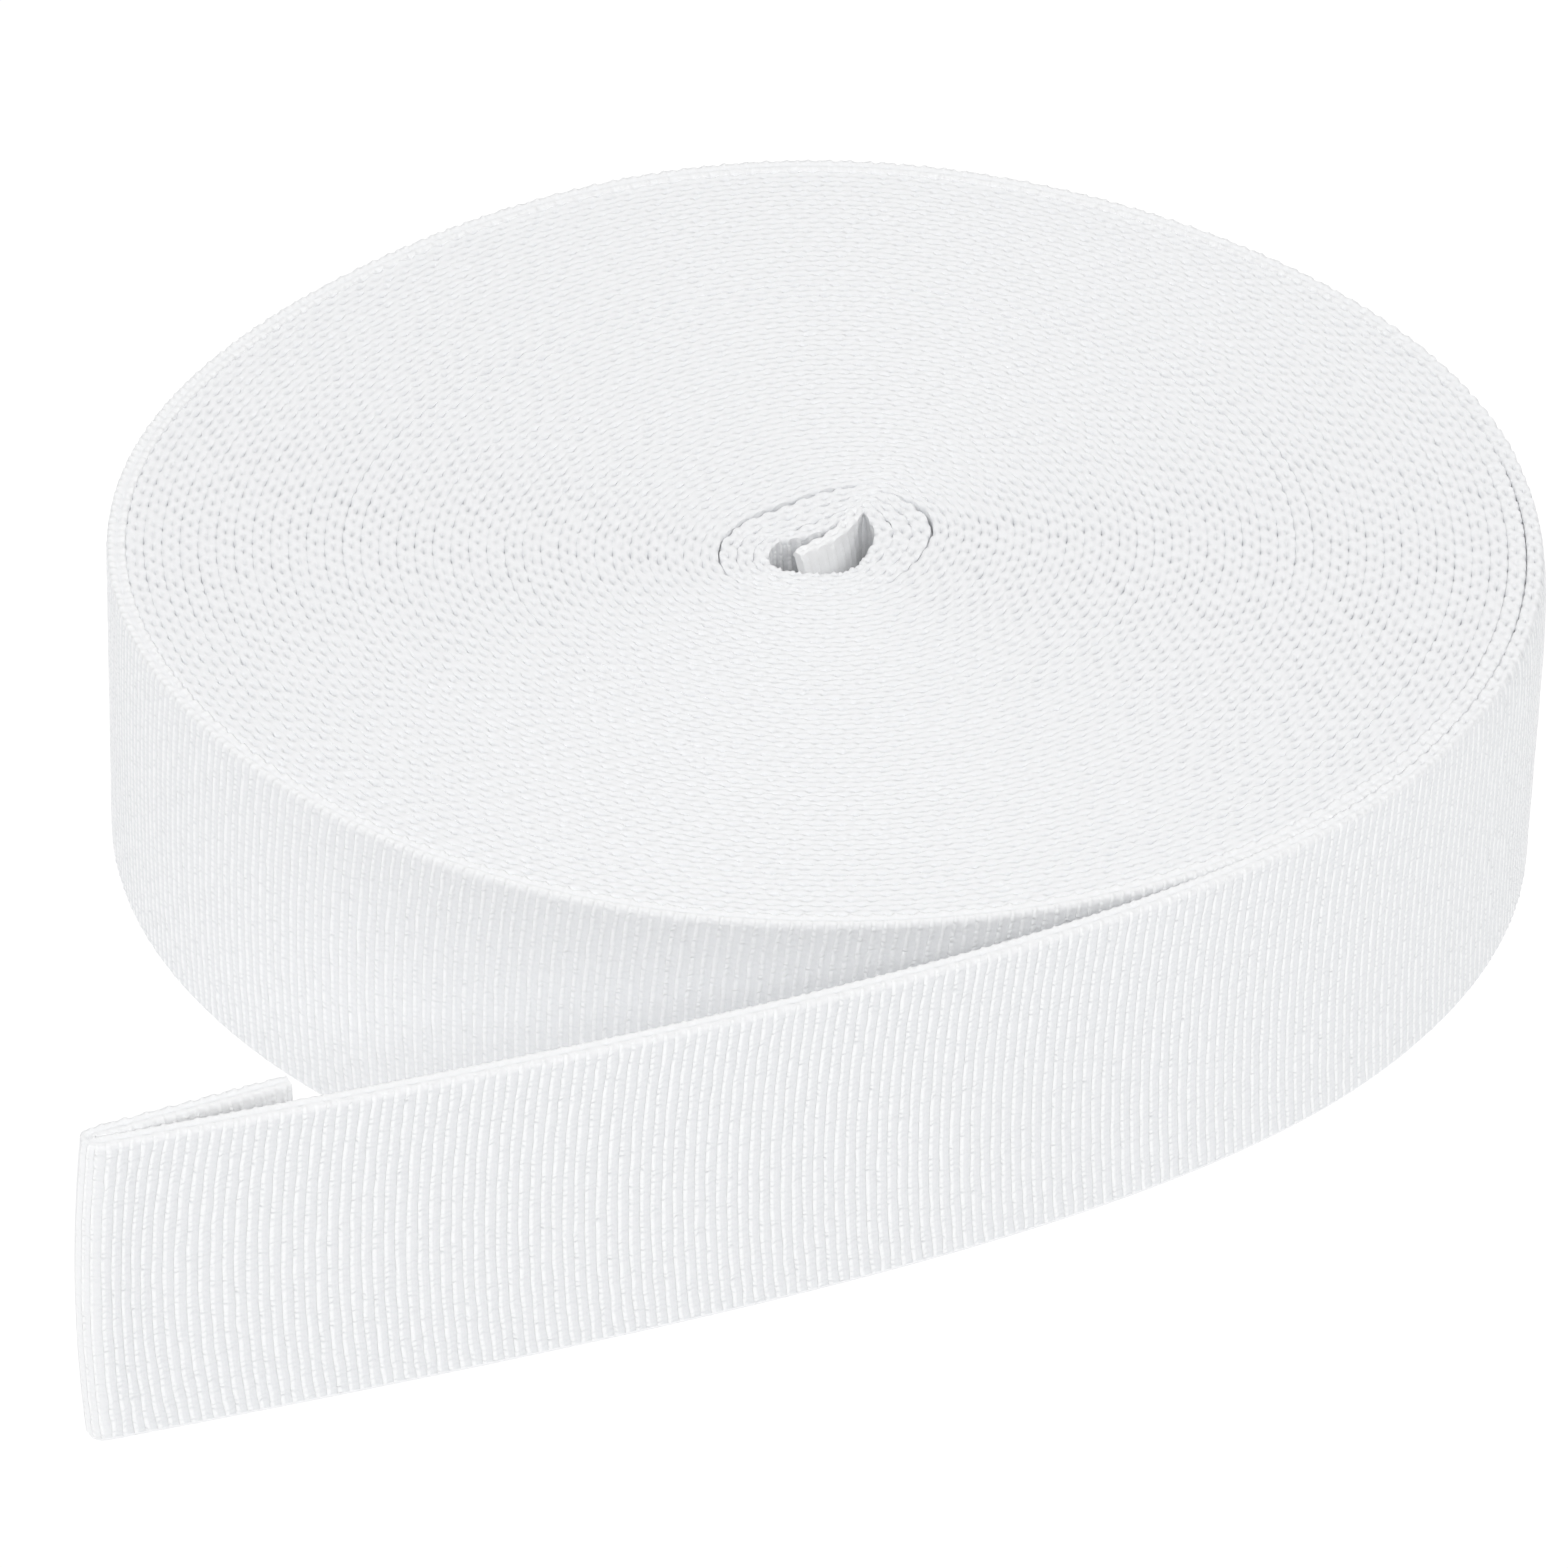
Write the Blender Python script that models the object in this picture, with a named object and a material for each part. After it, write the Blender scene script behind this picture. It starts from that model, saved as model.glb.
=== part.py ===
"""A roll of flat woven webbing lying on its side, with its outer end led off and folded back.

One cut length of webbing is wound on itself round no core. It is made here as three solids:
the wound roll, the loose outer end from where it lifts off, and the inner end that shows in
the hole. Lengths are in millimetres until the points are handed to Blender in metres. Each
outline is first worked out with the middle of the winding at (0, 0), and bearings are
measured anticlockwise from +X, seen from above.
"""

import math
from collections import namedtuple

import bmesh
import bpy
import numpy as np

MM = 0.001

# The webbing itself. A turn takes the cloth and the thin gap to the next turn.
WEB_WIDTH = 38.1
WEB_THICK = 1.55
GAP = 0.3
PITCH = WEB_THICK + GAP
EDGE_ROUND = 0.45

# The outside of the roll: its radius at bearing 0, and how far the pull of winding has left
# it from a true circle, as waves that go round once, twice and so on.
OUTER_RADIUS = 76.04
Wave = namedtuple("Wave", "count cosine sine")
OUTLINE_WAVES = (
    Wave(1, -0.35, 2.30),
    Wave(2, 1.82, 1.16),
    Wave(3, -0.37, -0.50),
    Wave(4, 0.49, 0.27),
    Wave(5, -0.26, 0.31),
)

# The few tight turns in the middle, squashed to an oval with a dark gap round them.
CORE_HALF_LENGTH = 11.9
CORE_HALF_WIDTH = 10.5
CORE_TURN = math.radians(12)
CORE_GAP = 0.7
CORE_GAP_DEPTH = 3.0

# The hole in the core, as distances from its middle. Its narrow corner at 65 degrees is
# where the inner end bends back into the hole.
HOLE_MIDDLE = (-0.3, -1.5)
HoleSide = namedtuple("HoleSide", "bearing distance")
HOLE_SIDES = (
    HoleSide(11, 5.5),
    HoleSide(44, 7.9),
    HoleSide(57, 10.3),
    HoleSide(66, 10.9),
    HoleSide(73, 8.9),
    HoleSide(89, 4.9),
    HoleSide(137, 3.8),
    HoleSide(170, 4.8),
    HoleSide(182, 6.0),
    HoleSide(197, 6.6),
    HoleSide(215, 6.4),
    HoleSide(237, 5.4),
    HoleSide(267, 4.6),
    HoleSide(304, 4.9),
    HoleSide(339, 5.2),
)

# Groups of turns stand a little lower or higher than the next. Each row says where a group
# ends, as a share of the way from the core to the rim, and how far it lies below the top.
TurnGroup = namedtuple("TurnGroup", "ends_at drop")
TURN_GROUPS = (
    TurnGroup(0.34, 0.15),
    TurnGroup(0.60, 0.40),
    TurnGroup(0.84, 0.10),
    TurnGroup(0.97, 0.35),
)
GROUP_STEP = 0.4
RIM_TURNS = 1.7

COLUMNS = 120

# The loose end: where it starts on the right, how far it stands off there, where it lifts off
# at the front, and how its heading eases from the roll's own curve to nearly straight.
LOOSE_START = math.radians(15)
LOOSE_STEP = 0.5
LOOSE_SLACK = 1.2
SLACK_LEAN = 0.7
LIFT_OFF = math.radians(-45)
FREE_HEADING = math.radians(198.7)
EASE_LENGTH = 44.0
FREE_LENGTH = 137.0
ON_ROLL_STEPS = 16
FREE_STEPS = 18

# The fold at its far end, and the short layer behind, which opens like a narrow V.
FOLD_RADIUS = (WEB_THICK + 0.25) / 2
FOLD_OPENING = math.radians(7)
FOLD_STEPS = 8
BACK_LENGTH = 21.5
BACK_STEPS = 4

# The inner end, from its root in the hole's narrow corner to its cut edge on the left.
InnerPoint = namedtuple("InnerPoint", "x y")
INNER_END = (
    InnerPoint(4.45, 7.0),
    InnerPoint(3.3, 5.7),
    InnerPoint(1.6, 3.2),
    InnerPoint(-0.3, 1.2),
    InnerPoint(-2.2, -0.1),
    InnerPoint(-3.9, -1.3),
)
INNER_STEPS = 10

WEB_COLOUR = (0.86, 0.87, 0.88, 1.0)
WEB_ROUGHNESS = 0.75


def outer_radius(bearing):
    """Distance to the outermost turn's outer face: a mean radius plus the waves, less one
    pitch for each full turn of bearing, so that it winds inwards anticlockwise."""
    radius = OUTER_RADIUS - PITCH * bearing / (2 * math.pi)
    for wave in OUTLINE_WAVES:
        radius = radius + wave.cosine * np.cos(wave.count * bearing)
        radius = radius + wave.sine * np.sin(wave.count * bearing)
    return radius


def polar(bearing, radius):
    """Points at the given bearings and distances from (0, 0)."""
    return np.stack([radius * np.cos(bearing), radius * np.sin(bearing)], axis=1)


def rim_outline(bearing, inset):
    """The roll's outer face, drawn in by inset."""
    return polar(bearing, outer_radius(bearing) - inset)


def smooth_radius(bearing):
    """The rim's radius without its inward winding, RIM_TURNS turns in from the outside."""
    winding = PITCH * bearing / (2 * math.pi)
    return outer_radius(bearing) + winding - RIM_TURNS * PITCH


def core_outline(bearing, grow):
    """The tilted oval round the core's tight turns, grown by the given amount."""
    turned = bearing - CORE_TURN
    across = CORE_HALF_LENGTH + grow
    along = CORE_HALF_WIDTH + grow
    radius = across * along / np.hypot(along * np.cos(turned), across * np.sin(turned))
    return polar(bearing, radius)


def hole_outline(bearing, grow):
    """The hole's wall: a smooth closed curve through HOLE_SIDES, grown by the given amount."""
    sides = np.array([(math.radians(s.bearing), s.distance) for s in HOLE_SIDES])
    around = np.concatenate([sides[-3:, 0] - 2 * math.pi, sides[:, 0], sides[:3, 0] + 2 * math.pi])
    distance = np.concatenate([sides[-3:, 1], sides[:, 1], sides[:3, 1]])
    radius = smooth_through(around, distance, bearing % (2 * math.pi)) + grow
    return polar(bearing, radius) + np.array(HOLE_MIDDLE)


def smooth_through(known, values, wanted):
    """Cubic curve through (known, values), with each point's slope taken from its two
    neighbours, read off at the wanted places."""
    slopes = np.gradient(values, known)
    left = np.clip(np.searchsorted(known, wanted, side="right") - 1, 0, len(known) - 2)
    span = known[left + 1] - known[left]
    t = (wanted - known[left]) / span
    start = (2 * t**3 - 3 * t**2 + 1) * values[left] + (t**3 - 2 * t**2 + t) * span * slopes[left]
    end = (3 * t**2 - 2 * t**3) * values[left + 1] + (t**3 - t**2) * span * slopes[left + 1]
    return start + end


def between(start, end, share):
    """The outline that lies the given share of the way from one outline to another."""
    return start + share * (end - start)


def roll_rings():
    """The rings of points that the roll's skin passes through, each with its height, from
    the hole's foot up the hole, out over the top, down the rim and back under the roll.
    Rim rings have one point more than the others, for the step behind the loose end."""
    bearing = LOOSE_START + 2 * math.pi * np.arange(COLUMNS) / COLUMNS
    step_back = LOOSE_STEP / OUTER_RADIUS
    rim_bearing = np.append(bearing, LOOSE_START + 2 * math.pi - step_back)
    top = WEB_WIDTH
    half_gap = CORE_GAP / 2

    def core(grow):
        return core_outline(bearing, grow)

    def hole(grow):
        return hole_outline(bearing, grow)

    inner_rim = polar(bearing, smooth_radius(bearing))
    rings = [
        (hole(EDGE_ROUND), 0.0),
        (hole(0.0), EDGE_ROUND),
        (hole(0.0), top - EDGE_ROUND),
        (hole(EDGE_ROUND), top),
        (core(-half_gap - EDGE_ROUND), top),
        (core(-half_gap), top - EDGE_ROUND),
        (core(-half_gap), top - CORE_GAP_DEPTH),
        (core(half_gap), top - CORE_GAP_DEPTH),
        (core(half_gap), top - EDGE_ROUND),
    ]
    drop = TURN_GROUPS[0].drop
    rings.append((core(half_gap + EDGE_ROUND), top - drop))
    turns_span = float(np.mean(np.hypot(*(inner_rim - core(0.0)).T)))
    half_step = GROUP_STEP / 2 / turns_span
    next_drops = [group.drop for group in TURN_GROUPS[1:]] + [0.0]
    for group, next_drop in zip(TURN_GROUPS, next_drops):
        rings.append((between(core(0.0), inner_rim, group.ends_at - half_step), top - group.drop))
        rings.append((between(core(0.0), inner_rim, group.ends_at + half_step), top - next_drop))
    rings += [
        (inner_rim, top),
        (rim_outline(rim_bearing, EDGE_ROUND), top),
        (rim_outline(rim_bearing, 0.0), top - EDGE_ROUND),
        (rim_outline(rim_bearing, 0.0), EDGE_ROUND),
        (rim_outline(rim_bearing, EDGE_ROUND), 0.0),
        (inner_rim, 0.0),
    ]
    return rings


def join_rings(mesh, near, far):
    """Faces between two neighbouring rings of points. Where one ring has the extra point of
    the step, the last face gets a triangle beside it."""
    count = min(len(near), len(far))
    for i in range(count - 1):
        mesh.faces.new((near[i], near[i + 1], far[i + 1], far[i]))
    if len(near) == len(far):
        mesh.faces.new((near[-1], near[0], far[0], far[-1]))
    elif len(far) > len(near):
        mesh.faces.new((near[-1], near[0], far[-1], far[-2]))
        mesh.faces.new((near[0], far[0], far[-1]))
    else:
        mesh.faces.new((near[-2], near[-1], far[0], far[-1]))
        mesh.faces.new((near[-1], near[0], far[0]))


def roll_mesh():
    """The wound roll: every ring joined to the next, and the last back to the first."""
    mesh = bmesh.new()
    loops = []
    for points, height in roll_rings():
        loops.append([mesh.verts.new((x, y, height)) for x, y in points])
    for i, loop in enumerate(loops):
        join_rings(mesh, loop, loops[(i + 1) % len(loops)])
    return mesh


def web_section():
    """The webbing's cross-section as (offset to the left, height) corners, its long edges
    chamfered where the real selvage is rounded."""
    side = WEB_THICK / 2
    cut = EDGE_ROUND
    top = WEB_WIDTH
    return (
        (side - cut, 0.0),
        (side, cut),
        (side, top - cut),
        (side - cut, top),
        (cut - side, top),
        (-side, top - cut),
        (-side, cut),
        (cut - side, 0.0),
    )


def web_mesh(path):
    """A stretch of webbing stood on its edge along the middle line given by path."""
    heading = np.gradient(path, axis=0)
    heading /= np.linalg.norm(heading, axis=1)[:, None]
    left = np.stack([-heading[:, 1], heading[:, 0]], axis=1)
    mesh = bmesh.new()
    loops = []
    for point, side in zip(path, left):
        corners = [(*(point + offset * side), height) for offset, height in web_section()]
        loops.append([mesh.verts.new(corner) for corner in corners])
    for near, far in zip(loops, loops[1:]):
        for i in range(len(near)):
            j = (i + 1) % len(near)
            mesh.faces.new((near[i], near[j], far[j], far[i]))
    mesh.faces.new(loops[0])
    mesh.faces.new(loops[-1])
    return mesh


def walk(start, headings, step):
    """Points reached from start by equal steps, each along its own heading."""
    moves = np.stack([np.cos(headings), np.sin(headings)], axis=1) * step
    return start + np.cumsum(moves, axis=0)


def loose_end_path():
    """Middle line of the loose end: clockwise round the roll with a little slack, off it along
    an easing curve, round the fold and back along the short layer behind."""
    first = LOOSE_START - (LOOSE_STEP + GAP) / OUTER_RADIUS
    share = np.linspace(0.0, 1.0, ON_ROLL_STEPS + 1)
    slack = LOOSE_SLACK * np.sin(math.pi * share**SLACK_LEAN) ** 2
    on_roll = rim_outline(first + (LIFT_OFF - first) * share, WEB_THICK / 2 - slack)

    nearby = rim_outline(np.array([LIFT_OFF + 0.001, LIFT_OFF]), WEB_THICK / 2)
    lift_heading = math.atan2(*(nearby[1] - nearby[0])[::-1]) % (2 * math.pi)
    step = FREE_LENGTH / FREE_STEPS
    gone = (np.arange(FREE_STEPS) + 0.5) * step
    easing = (lift_heading - FREE_HEADING) * np.exp(-gone / EASE_LENGTH)
    free = walk(on_roll[-1], FREE_HEADING + easing, step)

    arrival = FREE_HEADING + (lift_heading - FREE_HEADING) * math.exp(-FREE_LENGTH / EASE_LENGTH)
    turn = math.pi - FOLD_OPENING
    fold_headings = arrival - turn * (np.arange(FOLD_STEPS) + 0.5) / FOLD_STEPS
    fold = walk(free[-1], fold_headings, FOLD_RADIUS * turn / FOLD_STEPS)

    back_headings = np.full(BACK_STEPS, arrival - turn)
    back = walk(fold[-1], back_headings, BACK_LENGTH / BACK_STEPS)
    return np.concatenate([on_roll, free, fold, back])


def inner_end_path():
    """Middle line of the inner end: a smooth curve through INNER_END."""
    points = np.array(INNER_END)
    known = np.arange(len(points), dtype=float)
    wanted = np.linspace(0.0, len(points) - 1, INNER_STEPS)
    x = smooth_through(known, points[:, 0], wanted)
    y = smooth_through(known, points[:, 1], wanted)
    return np.stack([x, y], axis=1)


def web_material(name):
    """Plain white nylon, a material of its own for each object."""
    material = bpy.data.materials.new(name)
    material.use_nodes = True
    shader = material.node_tree.nodes["Principled BSDF"]
    shader.inputs["Base Color"].default_value = WEB_COLOUR
    shader.inputs["Roughness"].default_value = WEB_ROUGHNESS
    shader.inputs["Metallic"].default_value = 0.0
    return material


def add_object(name, mesh):
    """Turns a bmesh in millimetres into a named object in metres, with faces outward."""
    bmesh.ops.recalc_face_normals(mesh, faces=mesh.faces)
    bmesh.ops.scale(mesh, vec=(MM, MM, MM), verts=mesh.verts)
    data = bpy.data.meshes.new(name)
    mesh.to_mesh(data)
    mesh.free()
    data.shade_smooth()
    data.set_sharp_from_angle(angle=math.radians(35))
    data.materials.append(web_material(name))
    thing = bpy.data.objects.new(name, data)
    bpy.context.scene.collection.objects.link(thing)
    return thing


def centre_on_floor(things):
    """Moves all meshes together so that the middle of the whole object's box is over the
    origin, and its underside stays at height 0."""
    corners = np.array([vertex.co for thing in things for vertex in thing.data.vertices])
    middle = (corners.min(axis=0) + corners.max(axis=0)) / 2
    for thing in things:
        for vertex in thing.data.vertices:
            vertex.co.x -= middle[0]
            vertex.co.y -= middle[1]


for old in list(bpy.data.objects):
    bpy.data.objects.remove(old)

centre_on_floor(
    [
        add_object("webbing_roll", roll_mesh()),
        add_object("loose_end", web_mesh(loose_end_path())),
        add_object("inner_end", web_mesh(inner_end_path())),
    ]
)
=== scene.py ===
import math
from collections import namedtuple

import bpy
import numpy as np
from mathutils import Matrix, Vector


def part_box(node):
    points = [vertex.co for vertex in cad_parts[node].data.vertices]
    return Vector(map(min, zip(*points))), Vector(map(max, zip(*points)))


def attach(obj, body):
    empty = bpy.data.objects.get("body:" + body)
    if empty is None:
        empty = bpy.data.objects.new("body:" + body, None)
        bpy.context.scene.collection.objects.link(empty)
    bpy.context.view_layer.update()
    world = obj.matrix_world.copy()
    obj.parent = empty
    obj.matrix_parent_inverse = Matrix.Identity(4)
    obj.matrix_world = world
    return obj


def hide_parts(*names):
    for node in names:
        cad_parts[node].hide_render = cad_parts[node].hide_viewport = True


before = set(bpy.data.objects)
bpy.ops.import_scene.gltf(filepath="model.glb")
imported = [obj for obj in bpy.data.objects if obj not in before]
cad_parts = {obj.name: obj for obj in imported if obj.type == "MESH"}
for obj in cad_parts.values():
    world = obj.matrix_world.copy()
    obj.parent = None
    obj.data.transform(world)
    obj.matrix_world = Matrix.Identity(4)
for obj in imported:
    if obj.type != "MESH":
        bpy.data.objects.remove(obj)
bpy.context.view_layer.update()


# Where the viewer stands: a metre away, low over the loose end's side, with a long lens and the
# head a little to one side. The camera looks along its own -Z, so its turns are about its own axes.
MM = 0.001
CAMERA_PLACE = (0.0, -854.8, 635.5)
CAMERA_LOOKS_DOWN = math.radians(35.86)
CAMERA_TURNS_LEFT = math.radians(0.21)
CAMERA_LEANS = math.radians(1.894)
LENS = 222.6
SENSOR_WIDTH = 36.0
SEES_FROM, SEES_TO = 0.05, 20.0

camera = bpy.data.objects.new("camera", bpy.data.cameras.new("camera"))
bpy.context.scene.collection.objects.link(camera)
camera.data.lens = LENS
camera.data.sensor_width = SENSOR_WIDTH
camera.data.clip_start = SEES_FROM
camera.data.clip_end = SEES_TO
aim = Matrix.Rotation(math.pi / 2 - CAMERA_LOOKS_DOWN, 4, "X")
aim = aim @ Matrix.Rotation(CAMERA_TURNS_LEFT, 4, "Y") @ Matrix.Rotation(CAMERA_LEANS, 4, "Z")
camera.matrix_world = Matrix.Translation([place * MM for place in CAMERA_PLACE]) @ aim
bpy.context.scene.camera = camera


# The winding. One length of webbing, about 10 m, is wound by hand round its own doubled-back end,
# so the first turns are squashed and a dark gap is left round them. All lines here are the middle
# of the web's thickness, in mm, from the inner end outwards, clockwise seen from above.
WINDING_AT = np.array([0.025, 17.25])
WEB_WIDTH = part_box("webbing_roll")[1][2] / MM
WEB_THICK = 1.64
SNUG = 0.01

# The squashed middle on spokes: the hole's wall, the outside of the three tight turns, and the gap
# left there. The strip passes outwards from one turn to the next at the first spoke.
Spoke = namedtuple("Spoke", "bearing wall ring gap")
SPOKES = (
    Spoke(62, 7.5, 11.7, 0.05),
    Spoke(52, 6.75, 11.75, 0.1),
    Spoke(42, 6.05, 11.9, 0.32),
    Spoke(30, 5.6, 12.0, 0.39),
    Spoke(15, 5.2, 11.55, 0.35),
    Spoke(0, 4.85, 10.75, 0.24),
    Spoke(-15, 4.6, 10.2, 0.17),
    Spoke(-30, 4.65, 9.9, 0.21),
    Spoke(-50, 5.3, 10.1, 0.14),
    Spoke(-70, 5.7, 10.3, 0.1),
    Spoke(-90, 5.85, 10.55, 0.1),
    Spoke(-107, 6.15, 11.0, 0.1),
    Spoke(-120, 6.75, 11.65, 0.21),
    Spoke(-133, 7.35, 12.4, 0.17),
    Spoke(-147, 7.5, 12.8, 0.17),
    Spoke(-158, 6.8, 12.5, 0.17),
    Spoke(-168, 6.0, 12.0, 0.17),
    Spoke(-178, 5.1, 11.4, 0.17),
    Spoke(-187, 4.0, 10.6, 0.21),
    Spoke(-197, 2.7, 9.9, 0.24),
    Spoke(-210, 2.1, 8.9, 0.39),
    Spoke(-224, 1.95, 8.25, 0.42),
    Spoke(-242, 1.85, 8.2, 0.35),
    Spoke(-258, 2.05, 9.0, 0.28),
    Spoke(-272, 2.65, 10.0, 0.21),
    Spoke(-281, 3.55, 10.9, 0.14),
    Spoke(-288, 4.9, 11.8, 0.07),
    Spoke(-293, 6.8, 12.5, 0.05),
    Spoke(-298, 8.9, 13.1, 0.05),
)
CROSSING = SPOKES[0].bearing
TIGHT_TURNS = 3

# The inner end, from its cut edge to the sharp bend where the first turn starts.
INNER_END = (
    (-3.4, -2.7),
    (-2.35, -1.5),
    (-0.85, -0.15),
    (0.7, 1.5),
    (1.95, 3.5),
    (2.7, 5.2),
    (3.15, 6.5),
    (3.75, 7.25),
    (4.4, 6.75),
)
FIRST_TURN_STARTS = 0.035
INNER_END_POINTS = 200

# Room for the inner end's thickness, in mm, at the given points: thin at its cut edge.
INNER_END_ROOM = ((0, 0.8), (15, 1.4), (30, 1.6), (150, 1.6), (185, 1.3), (199, 1.3))

# Below its upper edge the inner end leans to one side, less towards its bend.
INNER_LEAN = 2.6
INNER_LEAN_DEPTH = 4.5
INNER_LEAN_ENDS = 2.5
INNER_LEAN_SHAPE = 0.7

# Below its edge, the hole's wall gives way on the right, most at this share of a turn.
WALL_LEAN = 0.9
WALL_LEAN_AT = 0.10
WALL_LEAN_WIDTH = 0.085
WALL_LEAN_DEPTH = 1.2

# The rest of the winding: 35 turns out to the rim, whose radius has the waves that the pull of
# winding left in it, and the squeeze where the first of them pass over the crossing.
RIM_RADIUS = 76.04
RIM_WAVES = (
    (1, -0.35, 2.30),
    (2, 1.82, 1.16),
    (3, -0.37, -0.50),
    (4, 0.49, 0.27),
    (5, -0.26, 0.31),
)
RIM_SWELL = 0.8
SWELL_AT = math.radians(-12)
SWELL_WIDTH = math.radians(24)
WOUND_TURNS = 35 + CROSSING / 360
SQUEEZE_FADES = 3.0
SQUEEZE_SHARPNESS = 4

# The outermost turn comes loose on the right, its upper edge drawn in, lifts off at the front and
# runs nearly straight to the fold, behind which its last stretch is a short layer.
COMES_LOOSE = 15.0
LIFTS_OFF = -45.0
SLACK = 0.9
SLACK_LEAN = 0.7
SLACK_AT_TOP = 0.08
SLACK_DEPTH = 3.0
SLACK_TURNS = 2.5
SLACK_FADE = 1.3
FREE_HEADING = math.radians(198.7)
EASE_LENGTH = 44.0
FREE_LENGTH = 136.6
FOLD_RADIUS = 0.86
FOLD_OPENING = math.radians(7)
FOLD_BOW = 0.9
FOLD_BOW_REACH = 12.0
BACK_LENGTH = 21.5

# How finely each stretch is worked out, in points, and the whole line after it, in mm. The easing
# of the line and of its thickness spreads over this many of the line's steps.
TIGHT_POINTS = 2400
WOUND_POINTS = 36000
FREE_POINTS = 137
FOLD_POINTS = 24
BACK_POINTS = 22
LINE_STEP = 0.1
LINE_EASED = 4
ROOM_EASED = 12
THICK_EASED = 15

# A slanting tight turn has less room. 1 less the square of its slant is kept above this.
LEAST_SLANT_ROOM = 0.1


def smooth_through(known, values, wanted):
    """Cubic curve through (known, values), with each point's slope taken from its two
    neighbours, read off at the wanted places."""
    slopes = np.gradient(values, known)
    left = np.clip(np.searchsorted(known, wanted, side="right") - 1, 0, len(known) - 2)
    span = known[left + 1] - known[left]
    t = (wanted - known[left]) / span
    start = (2 * t**3 - 3 * t**2 + 1) * values[left] + (t**3 - 2 * t**2 + t) * span * slopes[left]
    end = (3 * t**2 - 2 * t**3) * values[left + 1] + (t**3 - t**2) * span * slopes[left + 1]
    return start + end


def on_spokes(field, share):
    """A spoke's value at a share of a turn clockwise from the crossing."""
    known = np.array([(CROSSING - spoke.bearing) / 360 for spoke in SPOKES])
    values = np.array([getattr(spoke, field) for spoke in SPOKES])
    return smooth_through(known, values, share)


def rim_radius(share):
    """The roll's mean radius plus its waves and the swell on its loose side, at a share of a turn
    clockwise from the crossing."""
    bearing = math.radians(CROSSING) - 2 * math.pi * share
    radius = np.full_like(share, RIM_RADIUS)
    for count, cosine, sine in RIM_WAVES:
        radius += cosine * np.cos(count * bearing) + sine * np.sin(count * bearing)
    return radius + RIM_SWELL * np.exp(-(((bearing - SWELL_AT) / SWELL_WIDTH) ** 2))


def tight_face(turns):
    """Inner face of a tight turn: the hole's wall plus a third of the ring's width for each
    turn already wound."""
    wound = np.clip(np.floor(turns), 0, TIGHT_TURNS - 1)
    share = turns - wound
    wall = on_spokes("wall", share)
    return wall + (on_spokes("ring", share) - wall) * wound / TIGHT_TURNS


def wound_face(turns):
    """Inner face of a wound turn, counted from the crossing: a start radius plus an even pitch
    out to the rim for each turn, plus a squeeze near the crossing that fades turn by turn."""
    share = turns % 1.0
    first = on_spokes("ring", share) + on_spokes("gap", share)
    rim = rim_radius(share)
    ends = on_spokes("ring", np.array([0.0, 1.0])) + on_spokes("gap", np.array([0.0, 1.0]))
    rim_there = rim_radius(np.zeros(1))[0]
    kept = 1 - 1 / WOUND_TURNS
    most = ends[0] * kept - ends[1] + rim_there / WOUND_TURNS
    most = most / (kept - math.exp(-1 / SQUEEZE_FADES))
    squeeze = most * ((1 + np.cos(2 * math.pi * share)) / 2) ** SQUEEZE_SHARPNESS
    start = first - rim * share / WOUND_TURNS - squeeze * np.exp(-share / SQUEEZE_FADES)
    start = start / (1 - share / WOUND_TURNS)
    pitch = (rim - start) / WOUND_TURNS
    return start + pitch * turns + squeeze * np.exp(-turns / SQUEEZE_FADES)


def at_bearing(turns, radius):
    """Points at the given turns clockwise from the crossing and distances from the middle."""
    bearing = math.radians(CROSSING) - 2 * math.pi * turns
    return np.stack([radius * np.cos(bearing), radius * np.sin(bearing)], axis=1)


def walk(start, headings, step):
    """Points reached from start by equal steps, each along its own heading."""
    moves = np.stack([np.cos(headings), np.sin(headings)], axis=1) * step
    return start + np.cumsum(moves, axis=0)


def length_along(points):
    """Distance along a line of points, 0 at the first."""
    return np.concatenate([[0.0], np.cumsum(np.hypot(*np.diff(points, axis=0).T))])


def eased(values, steps):
    """Each value replaced by the bell-weighted mean of those within three spreads of it."""
    reach = 3 * steps
    bell = np.exp(-0.5 * (np.arange(-reach, reach + 1) / steps) ** 2)
    padded = np.concatenate([np.full(reach, values[0]), values, np.full(reach, values[-1])])
    return np.convolve(padded, bell / bell.sum(), mode="valid")


known = np.arange(len(INNER_END), dtype=float)
wanted = np.linspace(0.0, len(INNER_END) - 1, INNER_END_POINTS)
inner_end = np.array(INNER_END)
inner_end = np.stack([smooth_through(known, inner_end[:, axis], wanted) for axis in (0, 1)], axis=1)

tight = np.linspace(FIRST_TURN_STARTS, TIGHT_TURNS, TIGHT_POINTS)
tight_pitch = (on_spokes("ring", tight % 1.0) - on_spokes("wall", tight % 1.0)) / TIGHT_TURNS
tight_line = at_bearing(tight, tight_face(tight) + tight_pitch / 2)

last_wound = WOUND_TURNS - 1 - COMES_LOOSE / 360
lift_off = WOUND_TURNS - 1 - LIFTS_OFF / 360
wound = np.linspace(0.0, lift_off, WOUND_POINTS)[1:]
wound_pitch = wound_face(wound + 1) - wound_face(wound)
turns_in = np.ceil(lift_off - wound)
loose_share = (wound + turns_in - 1 - last_wound) / (lift_off - last_wound)
loose_share = np.clip(loose_share, 0, 1)
wound_line = at_bearing(wound, wound_face(wound) + wound_pitch / 2)

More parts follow.
